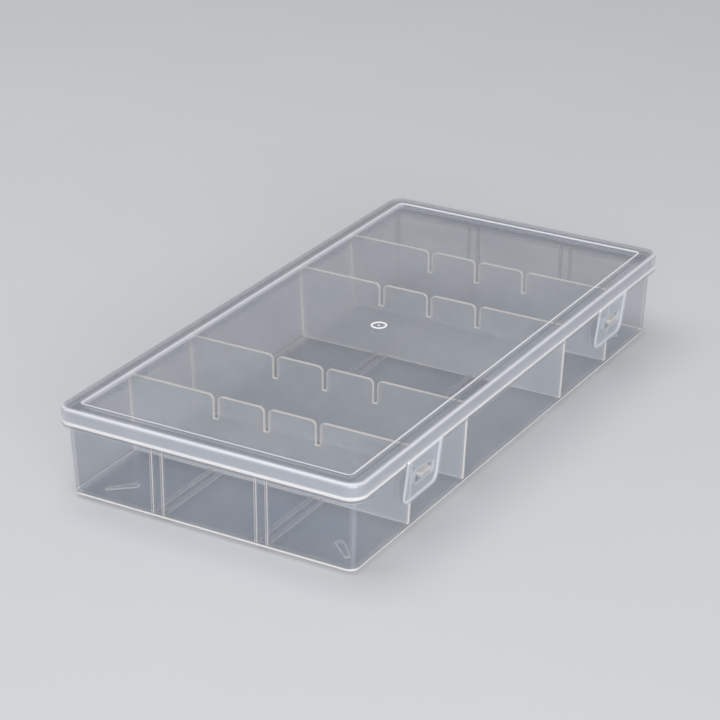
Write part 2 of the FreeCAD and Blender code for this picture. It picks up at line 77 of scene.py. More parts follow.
# A notch in a long side starts and ends over this share of half that side.
NOTCH_SLOPE = 0.0015
# A line of sight through the box crosses more faces than the default of eight.
FACES_SEEN_THROUGH = 48


class Body(Enum):
    """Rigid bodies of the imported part."""

    BASE = "base"
    LID = "lid"
    LATCH_LEFT = "latch_left"
    LATCH_RIGHT = "latch_right"


class Slot(Enum):
    """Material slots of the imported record."""

    TRAY = "tray"
    LID = "lid"
    LATCH = "latch"


class Side(Enum):
    """Ends of the box, with their sign along X."""

    LEFT = -1
    RIGHT = 1


class Row(Enum):
    """Long sides of the box, with their sign along Y."""

    FRONT = -1
    REAR = 1


class Lay(Enum):
    """Where a plate's two outline axes and its thickness point, as rows of a right-handed turn."""

    ACROSS_X = ((0, 1, 0), (0, 0, 1), (1, 0, 0))
    ACROSS_Y = ((1, 0, 0), (0, 0, 1), (0, -1, 0))
    ACROSS_Z = ((1, 0, 0), (0, 1, 0), (0, 0, 1))


def linear(colour: str) -> tuple[float, float, float, float]:
    """Turns an sRGB hex colour into linear light.

    Args:
        colour: Six hex digits after a hash sign.

    Returns:
        Linear red, green and blue, and a full alpha.
    """
    srgb = np.array([int(colour[place:place + 2], 16) for place in (1, 3, 5)]) / 255.0
    light = np.where(srgb <= 0.04045, srgb / 12.92, ((srgb + 0.055) / 1.055) ** 2.4)
    return (*light.tolist(), 1.0)


def per_metre(millimetres: float) -> float:
    """Gives the texture scale whose features are about this many millimetres apart."""
    return 1.0 / (millimetres * MM)


def node_box(node: str) -> tuple[np.ndarray, np.ndarray]:
    """Reads where a CAD node lies.

    Args:
        node: Name of the node.

    Returns:
        Its lowest and highest corners in millimetres.
    """
    low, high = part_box(node)
    return np.array(low) / MM, np.array(high) / MM


def joint_place(name: str) -> np.ndarray:
    """Reads the point that a joint turns about, in millimetres."""
    return np.array(next(joint for joint in frame["joints"] if joint["name"] == name)["pos_m"]) / MM


@dataclass
class Surface:
    """A mesh in millimetres: points, faces as rows of indices, and how much painted edge highlight each point
    carries.
    """

    points: np.ndarray
    faces: list[list[int]]
    edge: np.ndarray

    def laid(self, lay: Lay, place: Sequence[float]) -> "Surface":
        """Turns the local axes to a lay and moves the origin to a place."""
        return Surface(self.points @ np.array(lay.value, float) + np.asarray(place, float), self.faces, self.edge)

    def leaned(self, angle: float, about: Sequence[float]) -> "Surface":
        """Turns the surface by an angle in radians about a line along X through a point.

        Args:
            angle: Positive from +Y towards +Z.
            about: A point of the line.

        Returns:
            The turned surface.
        """
        cosine, sine = math.cos(angle), math.sin(angle)
        turn = np.array([(1, 0, 0), (0, cosine, sine), (0, -sine, cosine)])
        return Surface((self.points - about) @ turn + about, self.faces, self.edge)

    def joined(self, other: "Surface") -> "Surface":
        """Puts another surface into the same mesh."""
        moved = [[index + len(self.points) for index in face] for face in other.faces]
        points = np.concatenate([self.points, other.points])
        return Surface(points, self.faces + moved, np.concatenate([self.edge, other.edge]))


@dataclass(frozen=True)
class Path:
    """Way round a rounded rectangle: each sample's place between the corners, its normal and what is there."""

    skeleton: np.ndarray
    normal: np.ndarray
    turn: np.ndarray
    notched: np.ndarray


def rounded_path(steps: int, notches: Sequence[tuple[float, float]] = ()) -> Path:
    """Samples the way round a rounded rectangle, anticlockwise from the front right corner.

    Each corner turns the normal by a quarter circle in equal steps. Its turn, which weights a painted highlight in
    the upright corners, is a narrow stripe, the sixth power of the sine of half a circle times the share of the
    corner passed. Along the front, two samples stand close together at each end of each notch, one outside and one
    inside it.

    Args:
        steps: Segments in each corner.
        notches: Start and end of each notch, as shares of half the straight front, from left to right.

    Returns:
        The path.
    """
    share = np.linspace(0.0, 1.0, steps + 1)
    angle = ((np.arange(4)[:, None] - 1.0 + share) * np.pi / 2.0).ravel()
    corners = np.repeat(np.array([(1, -1), (1, 1), (-1, 1), (-1, -1)], float), steps + 1, axis=0)
    ends = np.array([(low - NOTCH_SLOPE, low, high, high + NOTCH_SLOPE) for low, high in notches]).ravel()
    front = np.stack([ends, -np.ones_like(ends)], axis=1)
    outwards = np.stack([np.cos(angle), np.sin(angle)], axis=1)
    return Path(
        skeleton=np.concatenate([corners, front]),
        normal=np.concatenate([outwards, np.tile((0.0, -1.0), (len(ends), 1))]),
        turn=np.concatenate([np.tile(np.sin(np.pi * share) ** 6, 4), np.zeros(len(ends))]),
        notched=np.concatenate([np.zeros(len(corners), bool), np.tile([False, True, True, False], len(notches))]),
    )


def latch_notches(latch_x: float, half_width: float, straight: float) -> list[tuple[float, float]]:
    """Gives both latches' notches as shares of half the straight front, from left to right."""
    low, high = (latch_x - half_width) / straight, (latch_x + half_width) / straight
    return [(-high, -low), (low, high)]


def round_path(steps: int) -> Path:
    """Samples the way round a circle, whose corners all lie at its middle."""
    angle = np.linspace(0.0, 2.0 * np.pi, steps, endpoint=False)
    normal = np.stack([np.cos(angle), np.sin(angle)], axis=1)
    return Path(np.zeros((steps, 2)), normal, np.zeros(steps), np.zeros(steps, bool))


@dataclass(frozen=True)
class Ring:
    """One station of a loft: a rounded rectangle at a level, how much painted highlight it carries, and what a notch
    does to it.
    """

    half_x: float
    half_y: float
    radius: float
    level: float
    edge: float = 0.0
    corner: float = 0.0
    shift_y: float = 0.0
    upper_radius: Optional[float] = None
    # Gain of the painted highlight on the half of the path towards +Y.
    upper_highlight_gain: float = 0.0
    notch: tuple[float, float] = (0.0, 0.0)


def circle_ring(radius: float, level: float, edge: float) -> Ring:
    """Makes a station for a round path."""
    return Ring(radius, radius, radius, level, edge)


def skin(points: np.ndarray, edge: np.ndarray, closed: bool) -> Surface:
    """Joins rows of points, which run anticlockwise, by quads.

    Args:
        points: Rows by samples by three.
        edge: Rows by samples.
        closed: True joins the last row to the first; False closes both with flat faces.

    Returns:
        The surface, whose faces point outwards when the rows go outwards below and inwards above.
    """
    grid = np.arange(edge.size).reshape(edge.shape)
    low = grid if closed else grid[:-1]
    high = np.roll(grid, -1, axis=0) if closed else grid[1:]
    quads = np.stack([low, np.roll(low, -1, axis=1), np.roll(high, -1, axis=1), high], axis=2).reshape(-1, 4)
    caps = [] if closed else [grid[0, ::-1].tolist(), grid[-1].tolist()]
    return Surface(points.reshape(-1, 3), quads.tolist() + caps, edge.ravel())


def loft(rings: Sequence[Ring], path: Path, closed: bool = False) -> Surface:
    """Carries a profile round a rounded rectangle.

    A point is the path's place between the corners times the half size less the corner radius, plus the normal
    times the corner radius, plus the ring's shift and, inside a notch, the notch's own shift.

    Args:
        rings: Stations of the profile, outwards below, up the outside and inwards above.
        path: The way round.
        closed: True for a profile that ends where it starts.

    Returns:
        The surface.
    """
    halves = np.array([(ring.half_x, ring.half_y) for ring in rings])[:, None, :]
    lower = np.array([ring.radius for ring in rings])[:, None]
    upper = np.array([ring.radius if ring.upper_radius is None else ring.upper_radius for ring in rings])[:, None]
    radius = np.where(path.skeleton[:, 1] > 0, upper, lower)[:, :, None]
    flat = path.skeleton * (halves - radius) + path.normal * radius
    notch = np.array([ring.notch for ring in rings])[:, None, :] * path.notched[None, :, None]
    flat[:, :, 1] += np.array([ring.shift_y for ring in rings])[:, None] + notch[:, :, 0]
    level = np.array([ring.level for ring in rings])[:, None] + notch[:, :, 1]
    pale = np.array([ring.edge for ring in rings])[:, None]
    corner = np.array([ring.corner for ring in rings])[:, None]
    gain = np.array([ring.upper_highlight_gain for ring in rings])[:, None] * np.clip(path.normal[:, 1], 0.0, 1.0)
    edge = np.clip((pale + corner * path.turn) * (1.0 + gain), 0.0, 1.0)
    return skin(np.concatenate([flat, level[:, :, None]], axis=2), edge, closed)


def arc(centre: Sequence[float], radius: float, start: float, end: float, steps: int = 8) -> np.ndarray:
    """Samples an arc between two angles in degrees, both ends included."""
    angle = np.radians(np.linspace(start, end, steps + 1))
    return np.asarray(centre, float) + radius * np.stack([np.cos(angle), np.sin(angle)], axis=1)


def inset_outline(outline: np.ndarray, distance: float) -> np.ndarray:
    """Moves an anticlockwise outline inwards.

    Each corner goes along the sum of its two sides' unit normals, scaled so that both sides move by the distance.

    Args:
        outline: Points of the outline.
        distance: How far the sides move.

    Returns:
        The moved points.
    """
    sides = np.roll(outline, -1, axis=0) - outline
    sides /= np.linalg.norm(sides, axis=1, keepdims=True)
    normal = np.stack([-sides[:, 1], sides[:, 0]], axis=1)
    both = normal + np.roll(normal, 1, axis=0)
    return outline + 2.0 * distance * both / np.sum(both * both, axis=1, keepdims=True)


@dataclass(frozen=True)
class PlateEdge:
    """How a flat moulding's edge is broken, with bevel and fades in mm, and how much painted highlight its edge and
    faces carry.
    """

    bevel: float = 0.15
    fade: float = 0.4
    side_fade: float = 0.15
    side: float = 0.5
    face: float = 0.0
    paleness: float = 1.0


def plate(outline: np.ndarray, thickness: float, shape: PlateEdge, weights: Optional[np.ndarray] = None) -> Surface:
    """Makes a flat moulding with broken edges from its outline.

    The outline, moved inwards by the fade and then by the bevel, is carried through the thickness and back.

    Args:
        outline: Points of the outline, anticlockwise, in millimetres.
        thickness: Size along the local third axis, from 0.
        shape: The edge.
        weights: Strength of the painted edge highlight at each point of the outline, full if not given.

    Returns:
        The surface in local axes.
    """
    bevel, small = shape.bevel, ROUND_SHARE * shape.bevel
    half = [(shape.fade, 0.0, shape.face), (bevel, 0.0, 0.7), (small, small, 1.0), (0.0, bevel, 0.7)]
    half.append((0.0, bevel + shape.side_fade, shape.side))
    stations = half + [(inset, thickness - level, edge) for inset, level, edge in half[::-1]]
    flat = np.stack([inset_outline(outline, inset) for inset, _, _ in stations])
    level = np.array([level for _, level, _ in stations])[:, None, None] * np.ones((1, len(outline), 1))
    along = np.ones(len(outline)) if weights is None else weights
    edge = np.array([edge for _, _, edge in stations])[:, None] * shape.paleness * along
    return skin(np.concatenate([flat, level], axis=2), edge, closed=False)


def add_node(tree: bpy.types.NodeTree, kind: str, settings: dict[str, Any], **links: Any) -> bpy.types.Node:
    """Adds a shader node with its settings and links.

    Args:
        tree: The material's node tree.
        kind: Blender's name of the node type.
        settings: Attributes of the node, or values of its inputs by name or number.
        links: Outputs to join to inputs, by input name with underscores for spaces, or i and the input's number.

    Returns:
        The new node.
    """
    node = tree.nodes.new(kind)
    for name, value in settings.items():
        if isinstance(name, int) or name in node.inputs:
            node.inputs[name].default_value = value
        else:
            setattr(node, name, value)
    for name, socket in links.items():
        key = int(name[1:]) if name[1:].isdigit() else name.replace("_", " ")
        tree.links.new(socket, node.inputs[key])
    return node


@dataclass(frozen=True)
class MouldedPolypropylene:
    """Natural polypropylene from a polished mould: clear but milky, glossy, with a painted highlight and a painted
    glow at its edges.
    """

    name: str
    wall_colour: str
    painted_highlight_colour: str
    wall_cover: float
    edge_cover: float
    painted_edge_glow: float = 0.14
    roughness: float = 0.16
    ior: float = 1.49
    cloud_mm: float = 26.0
    cloud_share: float = 0.2
    wave_mm: float = 3.0
    wave_share: float = 0.3
    wave_depth_mm: float = 0.03
    wave_strength: float = 0.15

    def material(self) -> bpy.types.Material:
        """Builds the material.

        Flow of the melt leaves soft clouds some centimetres wide, which change the haze a little. The polish of
        the mould leaves a fine waviness, drawn coarser than it is so that it shows. Towards the edges the colour is
        painted paler and more opaque, a painted highlight, and a painted glow by emission stands in for light that
        enters the walls and is led along them to the edges. Gloss follows Schlick's rule: the reflection grows with
        the fifth power of one less the cosine of the angle of sight.

        Returns:
            The material.
        """
        material = bpy.data.materials.new(self.name)
        material.use_nodes = True
        tree = material.node_tree
        tree.nodes.clear()
        place = add_node(tree, "ShaderNodeTexCoord", {}).outputs["Object"]
        edge = add_node(tree, "ShaderNodeAttribute", {"attribute_name": PAINTED_HIGHLIGHT_ATTRIBUTE}).outputs["Fac"]
        cloud = add_node(
            tree, "ShaderNodeTexNoise",
            {"Scale": per_metre(self.cloud_mm), "Detail": 3.0, "Roughness": 0.55}, Vector=place,
        ).outputs["Fac"]
        wave = add_node(
            tree, "ShaderNodeTexNoise", {"Scale": per_metre(self.wave_mm), "Detail": 2.0}, Vector=place,
        ).outputs["Fac"]
        haze = add_node(
            tree, "ShaderNodeMapRange",
            {
                "From Min": 0.3, "From Max": 0.7,
                "To Min": self.wall_cover * (1.0 - self.cloud_share),
                "To Max": self.wall_cover * (1.0 + self.cloud_share),
            },
            Value=cloud,
        ).outputs["Result"]
        # Painted highlight: towards the edges the plastic is painted paler and more opaque.
        cover = add_node(tree, "ShaderNodeMix", {"B": self.edge_cover}, Factor=edge, A=haze).outputs["Result"]
        colour = add_node(
            tree, "ShaderNodeMix",
            {"data_type": "RGBA", 6: linear(self.wall_colour), 7: linear(self.painted_highlight_colour)}, Factor=edge,
        ).outputs[2]
        # Painted glow: emission along the edges, standing in for light led along the walls.
        glow = add_node(
            tree, "ShaderNodeMath", {"operation": "MULTIPLY", 1: self.painted_edge_glow}, i0=edge,
        ).outputs["Value"]
        gloss = add_node(
            tree, "ShaderNodeMapRange",
            {
                "To Min": self.roughness * (1.0 - self.wave_share),
                "To Max": self.roughness * (1.0 + self.wave_share),
            },
            Value=wave,
        ).outputs["Result"]
        normal = add_node(
            tree, "ShaderNodeBump",
            {"Strength": self.wave_strength, "Distance": self.wave_depth_mm * MM}, Height=wave,
        ).outputs["Normal"]
        milk = add_node(
            tree, "ShaderNodeBsdfPrincipled",
            {
                "IOR": self.ior, "Specular IOR Level": 0.0, "Roughness": 0.5,
                "Emission Color": linear(self.painted_highlight_colour),
            },
            Base_Color=colour, Alpha=cover, Normal=normal, Emission_Strength=glow,
        ).outputs["BSDF"]
        shine = add_node(
            tree, "ShaderNodeBsdfGlossy", {"Color": (1.0, 1.0, 1.0, 1.0)}, Roughness=gloss, Normal=normal,
        ).outputs["BSDF"]
        facing = add_node(tree, "ShaderNodeLayerWeight", {"Blend": 0.5}, Normal=normal).outputs["Facing"]
        steep = add_node(tree, "ShaderNodeMath", {"operation": "POWER", 1: 5.0}, i0=facing).outputs["Value"]
        head_on = ((self.ior - 1.0) / (self.ior + 1.0)) ** 2
        mirrored = add_node(tree, "ShaderNodeMapRange", {"To Min": head_on, "To Max": 1.0}, Value=steep)
        surface = add_node(tree, "ShaderNodeMixShader", {}, Fac=mirrored.outputs["Result"], i1=milk, i2=shine)
        add_node(tree, "ShaderNodeOutputMaterial", {}, Surface=surface.outputs["Shader"])
        return material


@dataclass(frozen=True)
class MattLaminate:
    """Pale matt laminate of the studio table: plain, with a breath of unevenness."""

    name: str = "matt_laminate_table"
    colour: str = "#d6d8db"
    shade: str = "#d2d4d8"
    roughness: float = 0.55
    mottle_mm: float = 90.0

    def material(self) -> bpy.types.Material:
        """Builds the material.

        Returns:
            The material.
        """
        material = bpy.data.materials.new(self.name)
        material.use_nodes = True
        tree = material.node_tree
        tree.nodes.clear()
        place = add_node(tree, "ShaderNodeTexCoord", {}).outputs["Object"]
        mottle = add_node(
            tree, "ShaderNodeTexNoise", {"Scale": per_metre(self.mottle_mm), "Detail": 2.0}, Vector=place,
        ).outputs["Fac"]
        colour = add_node(
            tree, "ShaderNodeMix",
            {"data_type": "RGBA", 6: linear(self.colour), 7: linear(self.shade)}, Factor=mottle,
        ).outputs[2]
        board = add_node(tree, "ShaderNodeBsdfPrincipled", {"Roughness": self.roughness}, Base_Color=colour)
        add_node(tree, "ShaderNodeOutputMaterial", {}, Surface=board.outputs["BSDF"])
        return material


# Melt-clear polypropylene: grey-blue haze in the walls, and warm pale painted highlights along ribs and edges.
TRAY_PLASTIC = MouldedPolypropylene("natural_polypropylene_tray", "#5d6c85", "#f1ece7", 0.14, 0.88)
# The partitions are a paler, more opaque copy of the same plastic with a stronger painted glow, painted lighter so
# that they stand out from what lies behind them.
PARTITION_PLASTIC = MouldedPolypropylene(
    "natural_polypropylene_partition", "#eef2f6", "#f3eae2", 0.36, 0.88, painted_edge_glow=0.28,
)
# The ribs are too small to darken what lies behind them. Their haze is a paler copy of the tray's, painted lighter.
RAIL_PLASTIC = MouldedPolypropylene("natural_polypropylene_rail", "#c0c1c5", "#f3eae2", 0.16, 0.88)
# The feet are a paler copy of the plastic with a strong painted glow, which stand in for light led through the floor
# and keep them bright in the shade under the tray.
FOOT_PLASTIC = MouldedPolypropylene("natural_polypropylene_foot", "#a9b2c0", "#f1ece7", 0.25, 0.9, painted_edge_glow=0.4)
# The hinges are a paler copy of the plastic, painted lighter than the walls.
HINGE_PLASTIC = MouldedPolypropylene("natural_polypropylene_hinge", "#c3cad4", "#f1ece7", 0.12, 0.9)
# The lid's faces are a little clearer, and its rims carry a cool white painted highlight.
LID_PLASTIC = MouldedPolypropylene("natural_polypropylene_lid", "#66748a", "#f0f0f4", 0.12, 0.92)
# The latches are a paler, more opaque copy of the plastic, painted milkier than the walls.
LATCH_PLASTIC = MouldedPolypropylene("natural_polypropylene_latch", "#b9c2cd", "#f1eff1", 0.30, 0.90)


def build_mesh(name: str, surface: Surface, material: bpy.types.Material) -> bpy.types.Object:
    """Puts a surface into a smooth mesh object with one material.

    Args:
        name: Name of the object.
        surface: Its shape in millimetres.
        material: Its finish.

    Returns:
        The object, at the origin.
    """
    mesh = bpy.data.meshes.new(name)
    mesh.from_pydata(surface.points * MM, [], surface.faces)
    attribute = mesh.attributes.new(PAINTED_HIGHLIGHT_ATTRIBUTE, "FLOAT", "POINT")
    attribute.data.foreach_set("value", surface.edge.astype(np.float32))
    mesh.polygons.foreach_set("use_smooth", np.ones(len(mesh.polygons), bool))
    mesh.set_sharp_from_angle(angle=SHARP_ANGLE)
    mesh.materials.append(material)
    mesh.update()
    piece = bpy.data.objects.new(name, mesh)
    bpy.context.scene.collection.objects.link(piece)
    return piece


def add_moulding(node: str, surface: Surface, material: bpy.types.Material, body: Body) -> None:
    """Adds the moulding that stands for a CAD node and reports it.

    Args:
        node: The CAD node.
        surface: The moulding's shape.
        material: Its finish.
        body: The body it rides on.
    """
    piece = build_mesh(f"{node}_moulding", surface, material)
    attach(piece, body.value)
    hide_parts(node)
    LOG.info("%s rides on %s, %d faces", piece.name, body.value, len(surface.faces))


def keep_node(node: str, material: bpy.types.Material) -> None:
    """Dresses a CAD node whose own shape is right and reports it."""
    for slot in frame["nodes"][node].material_slots:
        slot.material = material
    LOG.info("%s keeps its own shape", node)


@dataclass(frozen=True)
class TrayWall:
    """Leaning wall of the tray, which the pieces inside and outside it follow. Sizes in mm and degrees."""

    rim_half_x: float
    rim_half_y: float
    bottom: float
    lip_top: float
    lip_height: float = 3.9
    overhang: float = 2.0
    draft: float = 2.8
    thickness: float = 1.3
    floor: float = 1.5
    corner: float = 3.4
    least_radius: float = 0.4

    @property
    def lean(self) -> float:
        """Distance that the wall goes out for each millimetre up."""
        return math.tan(math.radians(self.draft))

    @property
    def rim_top(self) -> float:
        """Level of the rim flange's upper face."""
        return self.lip_top - self.lip_height

    @property
    def floor_top(self) -> float:
        """Level of the floor inside."""
        return self.bottom + self.floor

    def inset(self, level: float) -> float:
        """Distance from the rim's edge in to the wall's outer face at a level."""
        return self.overhang + (self.rim_top - level) * self.lean

    def inside_x(self, level: float) -> float:
        """Half the inner length at a level."""
        return self.rim_half_x - self.inset(level) - self.thickness

    def inside_y(self, level: float) -> float:
        """Half the inner depth at a level."""
        return self.rim_half_y - self.inset(level) - self.thickness

    def outside_y(self, level: float) -> float:
        """Half the outer depth at a level."""
        return self.rim_half_y - self.inset(level)

    def ring(self, level: float, inwards: float = 0.0, edge: float = 0.0, corner: float = 0.0) -> Ring:
        """Makes a station on the wall.

        Args:
            level: Height of the station.
            inwards: Distance in from the wall's outer face.
            edge: Painted highlight all round.
            corner: Painted highlight added in the upright corners.

        Returns:
            The station.
        """
        back = self.inset(level) + inwards
        radius = max(self.corner + (level - self.bottom) * self.lean - inwards, self.least_radius)
        return Ring(self.rim_half_x - back, self.rim_half_y - back, radius, level, edge, corner)


@dataclass
class Tray:
    """Open tray: floor, leaning walls, rim flange with room for the latches, and the lip under the lid."""

    wall: TrayWall
    plastic: bpy.types.Material
    latch_x: float
    recess_half: float = 11.9
    recess_depth: float = 0.95
    rim_thickness: float = 1.6
    rim_corner: float = 6.0
    rounding: float = 0.25
    lower_edge: float = 1.0
    inner_fillet: float = 0.5
    flat_start: float = 6.0
    stripe_start: float = 1.5
    # Painted highlight in the wall's upright corners.
    corner_painted_highlight: float = 0.3
    # Painted highlight round the lower edge, strongest on its outer half, though that faces down into shade.
    lower_edge_highlight: tuple[float, ...] = (0.0, 0.1, 0.35, 0.8, 1.0, 1.0, 0.85)
    corner_steps: int = 12

    def rim_ring(self, inwards: float, level: float, edge: float) -> Ring:
        """Makes a station on the rim flange, set back where a latch hangs."""
        wall = self.wall
        halves = (wall.rim_half_x - inwards, wall.rim_half_y - inwards)
        return Ring(*halves, self.rim_corner - inwards, level, edge, notch=(self.recess_depth, 0.0))

    def underside(self) -> list[Ring]:
        """Stations of the underside and the rounded lower edge, an arc tangent to both, which carries a painted
        highlight.
        """
        wall, radius = self.wall, self.lower_edge
        draft = math.radians(wall.draft)
        middle = radius / math.cos(draft) - radius * wall.lean
        angles = np.linspace(-math.pi / 2, -draft, len(self.lower_edge_highlight))
        rings = [wall.ring(wall.bottom, self.flat_start), wall.ring(wall.bottom, middle + 0.5)]
        for angle, edge in zip(angles, self.lower_edge_highlight):
            level = wall.bottom + radius * (1.0 + math.sin(angle))
            out = radius * math.cos(angle) - middle
            rings.append(wall.ring(level, (level - wall.bottom) * wall.lean - out, edge))
        return rings

    def outside(self) -> list[Ring]:
        """Stations up the wall, with a painted highlight stripe in each upright corner, round the rim flange and up
        the lip.

        Those of the wall give level, distance in and painted highlight, those of the rim distance in, level and
        painted highlight.

        Returns:
            The stations.
        """
        wall, small = self.wall, self.rounding
        top = wall.rim_top
        under = top - self.rim_thickness
        lift = ROUND_SHARE * small
        return [
            wall.ring(wall.bottom + self.stripe_start, 0.0, 0.0, self.corner_painted_highlight),
            wall.ring(under - 0.6, 0.0, 0.0, self.corner_painted_highlight),
            wall.ring(under, 0.0, 0.15, 0.2),
            self.rim_ring(small + 0.3, under, 0.0),
            self.rim_ring(small, under, 0.3),
            self.rim_ring(lift, under + lift, 0.5),
            self.rim_ring(0.0, under + small, 0.5),
            self.rim_ring(0.0, under + small + 0.2, 0.35),
            self.rim_ring(0.0, under + small + 0.5, 0.05),
            self.rim_ring(0.0, top - small - 0.2, 0.25),
            self.rim_ring(lift, top - lift, 1.0),
            self.rim_ring(small, top, 0.9),
            wall.ring(top, 0.0, 0.1),
            wall.ring(top + 0.6, 0.0, 0.3),
            wall.ring(wall.lip_top - small, 0.0, 0.3),
            wall.ring(wall.lip_top - lift, lift, 0.7),
            wall.ring(wall.lip_top, small, 0.5),
        ]

    def inside(self) -> list[Ring]:
        """Stations over the lip, down the inner wall and onto the floor."""
        wall, small = self.wall, self.rounding
        lift, thick, fillet = ROUND_SHARE * small, wall.thickness, self.inner_fillet
        floor, raised = wall.floor_top, ROUND_SHARE * fillet
        return [
            wall.ring(wall.lip_top, thick - small, 0.5),
            wall.ring(wall.lip_top - lift, thick - lift, 0.7),
            wall.ring(wall.lip_top - small, thick, 0.3),
            wall.ring(wall.lip_top - 0.9, thick, 0.3),
            wall.ring(wall.rim_top, thick, 0.3),
            wall.ring(wall.rim_top - self.rim_thickness, thick),
            wall.ring(floor + 1.2, thick),
            wall.ring(floor + fillet, thick, 0.1),
            wall.ring(floor + raised, thick + raised, 0.2),
            wall.ring(floor, thick + fillet, 0.1),
            wall.ring(floor, thick + 1.4),
            wall.ring(floor, self.flat_start),
        ]

    def build(self) -> None:
        """Lofts the tray and dresses it."""
        notches = latch_notches(self.latch_x, self.recess_half, self.wall.rim_half_x - self.rim_corner)
        path = rounded_path(self.corner_steps, notches)
        surface = loft(self.underside() + self.outside() + self.inside(), path)
        add_moulding("base_tray", surface, self.plastic, Body.BASE)


@dataclass
class CrossWalls:
    """Four cross walls, each with three flared slots, whose ends, painted pale as a highlight with a painted glow,
    lie within the tray's walls.
    """

    wall: TrayWall
    plastic: bpy.types.Material
    count: int = 4
    slot_pitch: float = 20.2
    slot_width: float = 1.7
    slot_depth: float = 8.7
    flare: float = 2.0
    joint_depth: float = 0.8
    edge: PlateEdge = PlateEdge(bevel=0.12, fade=0.3, side=0.9)
    joint_highlight: float = 0.9
    rear_joint_end: float = 0.4
    rear_joint_highlight: float = 1.9

    def outline(self, top: float) -> tuple[np.ndarray, np.ndarray]:
        """Draws the wall: the tray's inner section, cut by three slots whose mouths are quarter rounds.

        The rear end carries more than a full painted highlight and painted glow between its two ends, so that it
        shines through the wall in front.

        Args:
            top: Level of the upper edge.

        Returns:
            The points, and how pale the edge is at each.
        """
        low = self.wall.floor_top - SINK
        levels = (low, low + self.rear_joint_end, top - self.rear_joint_end, top)
        rear = [(self.wall.inside_y(level) + self.joint_depth, level) for level in levels]
        half, neck, bottom = self.slot_width / 2, top - self.flare, top - self.slot_depth
        runs = [np.array([(-rear[0][0], low)] + rear)]
        for middle in (self.slot_pitch, 0.0, -self.slot_pitch):
            runs.append(arc((middle + half + self.flare, neck), self.flare, 90, 180))
            runs.append(np.array([(middle + half, bottom), (middle - half, bottom)]))
            runs.append(arc((middle - half - self.flare, neck), self.flare, 0, 90))
        runs.append(np.array([(-rear[-1][0], top)]))
        points = np.concatenate(runs)
        weights = np.ones(len(points))
        weights[[0, 1]] = self.joint_highlight
        weights[[2, 3]] = self.rear_joint_highlight
        return points, weights

    def build(self) -> None:
        """Makes the four walls and dresses them."""
        for number in range(1, self.count + 1):
            node = f"cross_wall_{number}"
            low, high = node_box(node)
            points, weights = self.outline(high[2])
            surface = plate(points, high[0] - low[0], self.edge, weights).laid(Lay.ACROSS_X, (low[0], 0, 0))
            add_moulding(node, surface, self.plastic, Body.BASE)


@dataclass
class DividerRails:
    """Twin ribs that guide a lengthwise divider, on the floor and on the end walls, with a painted highlight
    strongest at their roots.
    """

    wall: TrayWall
    plastic: bpy.types.Material
    compartments: int = 5
    rib: float = 1.05
    depth: float = 1.0
    root: float = 0.5
    crest_highlight: float = 0.15
    floor_edge: PlateEdge = PlateEdge(bevel=0.12, fade=0.25, side=1.0)
    end_edge: PlateEdge = PlateEdge(bevel=0.12, fade=0.25, side_fade=0.3, side=0.12)

    def build_floor(self, row: Row) -> None:
        """Makes one row of floor rails: two bars each, along X, with a painted highlight where their front sides meet
        the floor.
        """
        weights = np.array([1.0] + [self.crest_highlight] * 5)
        for number in range(1, self.compartments + 1):
            node = f"floor_rail_{row.name.lower()}_{number}"
            low, high = node_box(node)
            length = high[0] - low[0] + 2 * SINK
            bottom, top = low[2] - SINK, high[2]
            bars = []
            for front, rear in ((low[1], low[1] + self.rib), (high[1] - self.rib, high[1])):
                section = [(front, bottom), (front + self.root, bottom), (rear, bottom)]
                section += [(rear, top), (front, top), (front, bottom + self.root)]
                bars.append(plate(np.array(section), length, self.floor_edge, weights))
            surface = bars[0].joined(bars[1]).laid(Lay.ACROSS_X, (low[0] - SINK, 0, 0))
            add_moulding(node, surface, self.plastic, Body.BASE)

    def build_end(self, row: Row, side: Side) -> None:
        """Makes one end rail: two bars that lean with the end wall, on steeper roots within it."""
        node = f"end_rail_{row.name.lower()}_{side.name.lower()}"
        low, high = node_box(node)
        base, top = self.wall.floor_top - SINK, high[2]
        section = np.array([
            (self.wall.inside_x(base) - self.depth, base),
            (self.wall.inside_x(base) + self.wall.thickness - SINK, base),
            (self.wall.inside_x(top) + SINK, top),
            (self.wall.inside_x(top) - self.depth, top),
        ])
        if side is Side.LEFT:
            section = section[::-1] * (-1.0, 1.0)
        weights = np.array([self.crest_highlight, 1.0, 1.0, self.crest_highlight])
        bar = plate(section, self.rib, self.end_edge, weights)
        bars = [bar.laid(Lay.ACROSS_Y, (0, start, 0)) for start in (low[1] + self.rib, high[1])]
        add_moulding(node, bars[0].joined(bars[1]), self.plastic, Body.BASE)

    def build(self) -> None:
        """Makes all the rails and dresses them."""
        for row in Row:
            self.build_floor(row)
            for side in Side:
                self.build_end(row, side)


@dataclass
class Feet:
    """Low diagonal bars with round ends under the corners of the tray, narrower towards the corner."""

    plastic: bpy.types.Material
    length: float = 12.0
    inner_width: float = 3.4
    corner_width: float = 2.2
    # The faces carry a quarter of the painted highlight, which lightens the shade where the feet stand on the table.
    edge: PlateEdge = PlateEdge(bevel=0.2, fade=0.6, side_fade=0.05, side=1.0, face=0.25)

    def build(self) -> None:
        """Makes the four feet, each turned towards its corner, and dresses them."""
        inner, outer = self.inner_width / 2, self.corner_width / 2
        ends = [(self.length / 2 - outer, outer, -90), (inner - self.length / 2, inner, 90)]
        bar = np.concatenate([arc((reach, 0), radius, start, start + 180, 12) for reach, radius, start in ends])
        for row in Row:
            for side in Side:
                node = f"foot_{row.name.lower()}_{side.name.lower()}"
                low, high = node_box(node)
                along = np.array([side.value, row.value]) * math.sqrt(0.5)
                outline = bar @ np.array([along, (-along[1], along[0])])
                middle = (low + high)[:2] / 2 - (outline.min(axis=0) + outline.max(axis=0)) / 2
                surface = plate(outline, high[2] - low[2] + SINK, self.edge)
                surface = surface.laid(Lay.ACROSS_Z, (middle[0], middle[1], low[2]))
                add_moulding(node, surface, self.plastic, Body.BASE)


